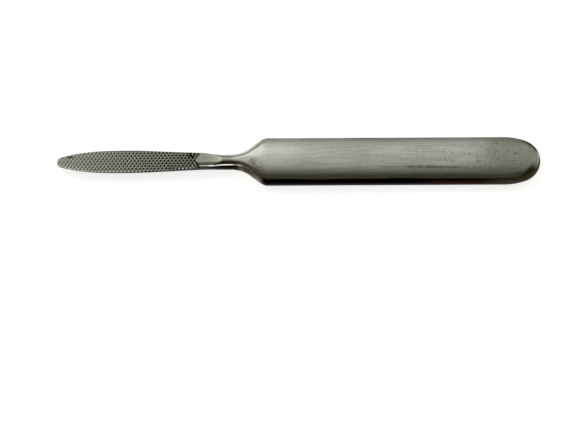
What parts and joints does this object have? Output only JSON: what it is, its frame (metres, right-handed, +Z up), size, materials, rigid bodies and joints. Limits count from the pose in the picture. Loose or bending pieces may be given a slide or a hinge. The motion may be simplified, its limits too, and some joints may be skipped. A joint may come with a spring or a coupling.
{
  "type": "bone file",
  "caption": "One-piece steel bone file: leaf-shaped head cross-cut with teeth on its upper face, a round neck and a flat handle with rounded edges.",
  "frame": {"origin": "middle of the tool's length and width, on the surface that the underside of the handle lies on", "axes": "+X along the tool from the tip of the head to the end of the handle, +Z up out of the toothed face"},
  "size_m": [0.175, 0.0184, 0.0062],
  "materials": {
    "steel": "satin ground stainless steel with a lengthwise grain, bright at the neck and dull between the teeth"
  },
  "bodies": {
    "root": {"bone_file": "steel"}
  },
  "joints": []
}
